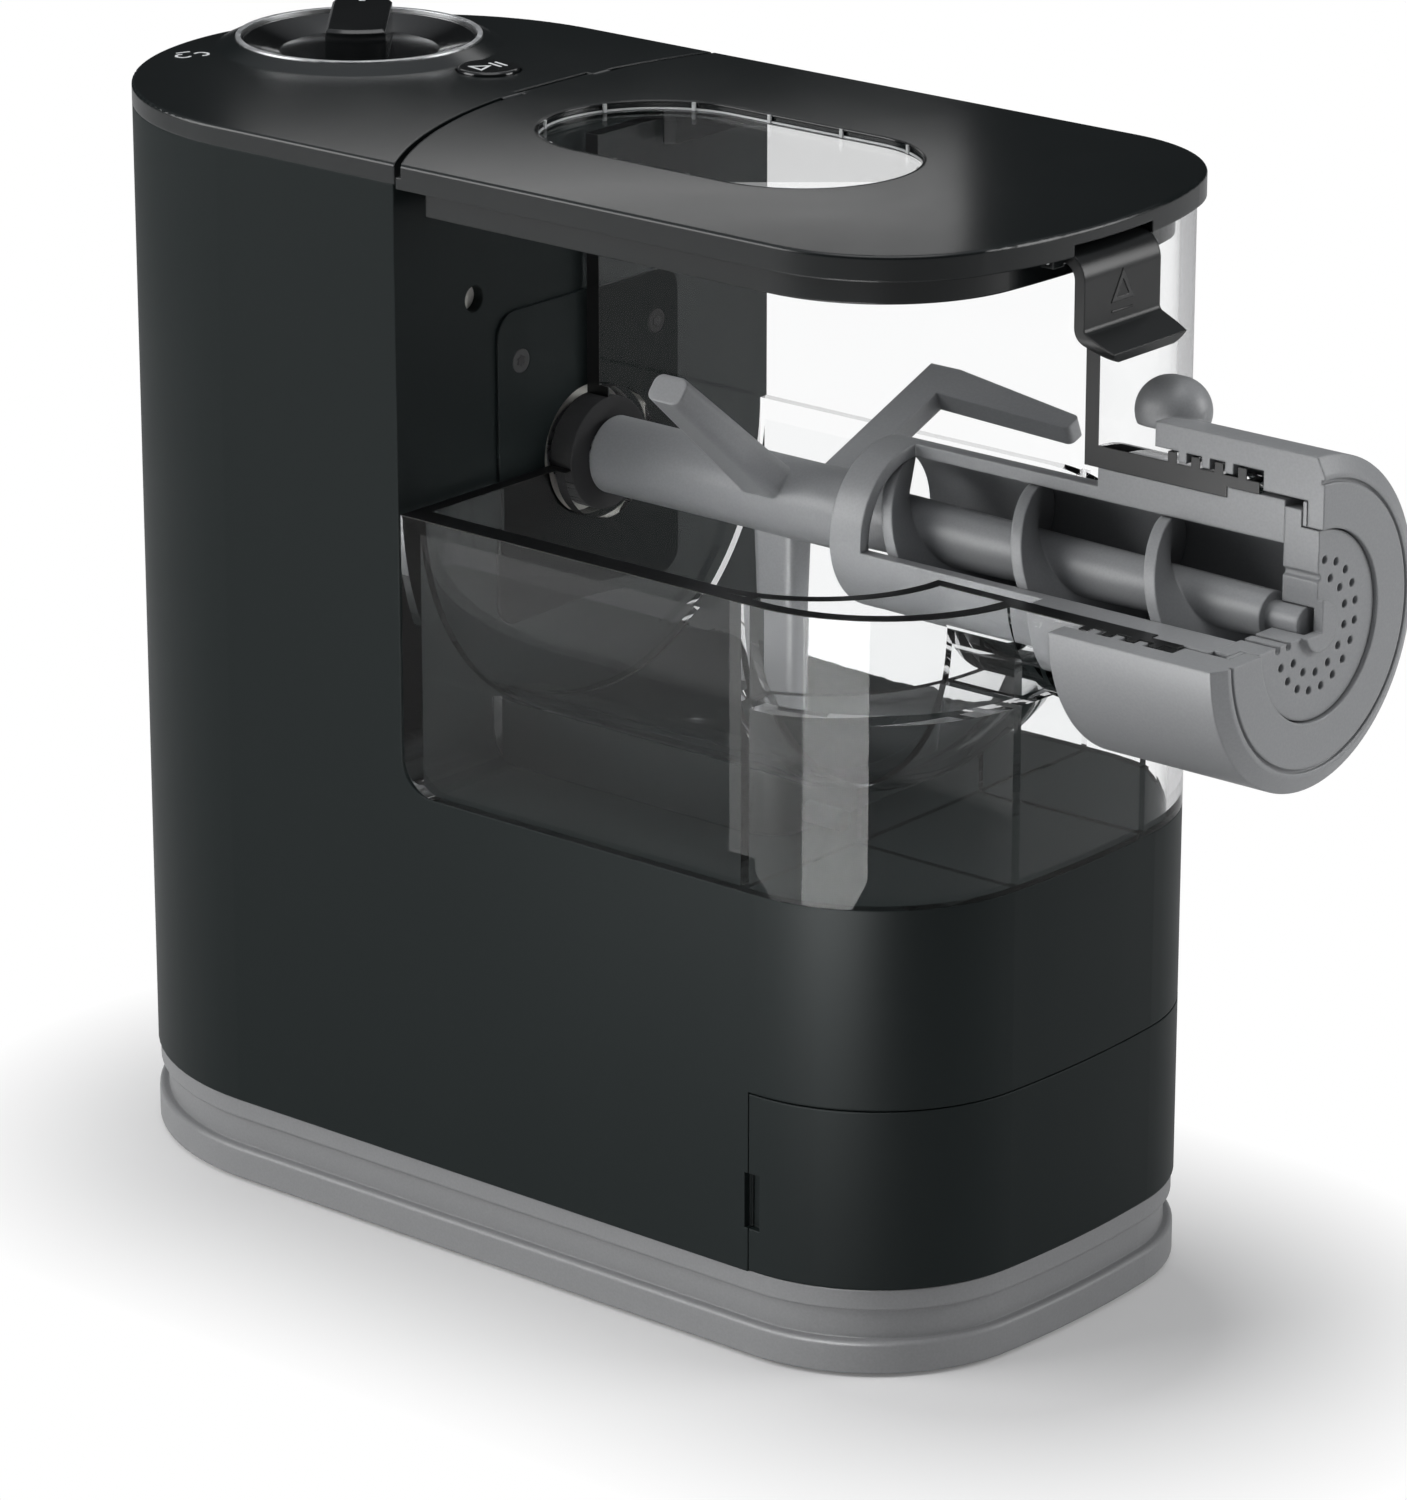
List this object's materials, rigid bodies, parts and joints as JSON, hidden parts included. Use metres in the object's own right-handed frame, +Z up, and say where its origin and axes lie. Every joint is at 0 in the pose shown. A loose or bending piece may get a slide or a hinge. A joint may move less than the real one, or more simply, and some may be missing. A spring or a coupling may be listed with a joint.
{
  "type": "electric pasta maker",
  "caption": "Countertop pasta maker in section: black housing with lid and dial, clear mixing chamber, paddle and auger, grey extruding nozzle with locking ring, storage drawer.",
  "frame": {"origin": "on the standing surface, under the middle of the bounding box", "axes": "+X towards the extruding nozzle, +Z up, +Y to the right of a user who faces the dial from the nozzle"},
  "size_m": [0.3446, 0.135, 0.2795],
  "materials": {
    "housing_black": "satin, very slightly green black",
    "cover_black": "satin black",
    "dial_black": "glossy black",
    "latch_black": "satin black",
    "plinth_grey": "satin mid grey",
    "nozzle_grey": "satin blue-grey",
    "clear_plastic": "clear, faintly grey plastic",
    "trim_silver": "polished trim",
    "steel": "machined",
    "gear_white": "natural acetal",
    "foot_rubber": "matt rubber",
    "board_green": "circuit board",
    "switch_black": "moulded black",
    "motor_grey": "zinc plated can",
    "coil_copper": "wound copper"
  },
  "bodies": {
    "housing": {"body_shell": "housing_black", "tower_plate": "housing_black", "tower_screws": "switch_black", "base_plinth": "plinth_grey", "base_plate": "switch_black", "base_screws": "steel", "rubber_feet": "foot_rubber", "rear_top_cover": "cover_black", "lid_hinge_pin": "steel", "dial_ring": "trim_silver", "control_board": "board_green", "board_posts": "housing_black", "selector_switch": "switch_black", "start_switch": "switch_black", "lid_switch": "switch_black", "mixing_chamber": "clear_plastic", "chamber_seal": "foot_rubber", "extruding_tube": "nozzle_grey", "shaping_disc": "nozzle_grey", "idler_shaft": "steel", "gearbox_front_plate": "gear_white", "gearbox_rear_plate": "gear_white", "gearbox_posts": "gear_white", "shaft_bearings": "steel", "motor_body": "motor_grey", "drawer_runners": "switch_black", "power_inlet": "switch_black", "inlet_prongs": "steel", "supply_board": "board_green", "supply_posts": "switch_black", "supply_coil": "coil_copper", "supply_capacitors": "motor_grey"},
    "lid": {"lid_cover": "cover_black", "lid_window": "clear_plastic", "lid_rim": "cover_black", "latch_pin": "steel"},
    "latch": {"lid_latch": "latch_black"},
    "dial": {"selector_dial": "dial_black", "dial_shaft": "steel"},
    "button": {"start_button": "dial_black"},
    "ring_seat": {"slip_washer": "gear_white"},
    "ring": {"locking_ring": "nozzle_grey"},
    "agitator": {"auger": "nozzle_grey", "mixing_paddle": "nozzle_grey", "drive_coupling": "steel", "drive_shaft": "steel", "output_gear": "gear_white"},
    "idler": {"idler_gear": "gear_white"},
    "rotor": {"motor_shaft": "steel", "motor_fan": "switch_black"},
    "drawer": {"drawer_front": "housing_black", "drawer_tray": "switch_black", "spare_discs": "nozzle_grey"}
  },
  "joints": [
    {"name": "lid_hinge", "type": "hinge", "parent": "housing", "child": "lid", "pos_m": [-0.07124, 0.017, 0.2705], "axis": [0, -1, 0], "range_deg": [0, 80]},
    {"name": "latch_hinge", "type": "hinge", "parent": "lid", "child": "latch", "pos_m": [0.10725, 0, 0.2653], "axis": [0, -1, 0], "range_deg": [0, 12]},
    {"name": "dial_turn", "type": "hinge", "parent": "housing", "child": "dial", "pos_m": [-0.13675, 0.017, 0.272], "axis": [0, 0, 1], "range_deg": [-135, 135]},
    {"name": "button_press", "type": "slide", "parent": "housing", "child": "button", "axis": [0, 0, -1], "range_m": [0, 0.0012], "stiffness_N_per_m": 450},
    {"name": "ring_travel", "type": "slide", "parent": "housing", "child": "ring_seat", "axis": [1, 0, 0], "range_m": [0, 0.00108]},
    {"name": "ring_turn", "type": "hinge", "parent": "ring_seat", "child": "ring", "pos_m": [0.14825, 0, 0.188], "axis": [1, 0, 0], "range_deg": [0, 60]},
    {"name": "auger_spin", "type": "hinge", "parent": "housing", "child": "agitator", "pos_m": [0.01625, 0, 0.188], "axis": [1, 0, 0], "continuous": true},
    {"name": "idler_spin", "type": "hinge", "parent": "housing", "child": "idler", "pos_m": [-0.07375, 0, 0.13175], "axis": [1, 0, 0], "continuous": true},
    {"name": "motor_spin", "type": "hinge", "parent": "housing", "child": "rotor", "pos_m": [-0.11375, 0, 0.089], "axis": [1, 0, 0], "continuous": true},
    {"name": "drawer_slide", "type": "slide", "parent": "housing", "child": "drawer", "axis": [1, 0, 0], "range_m": [0, 0.06]}
  ],
  "couplings": [
    {"joint": "ring_travel", "follows": "ring_turn", "m_per_rad": 0.0010345},
    {"joint": "idler_spin", "follows": "auger_spin", "ratio": -4},
    {"joint": "motor_spin", "follows": "auger_spin", "ratio": 15}
  ]
}
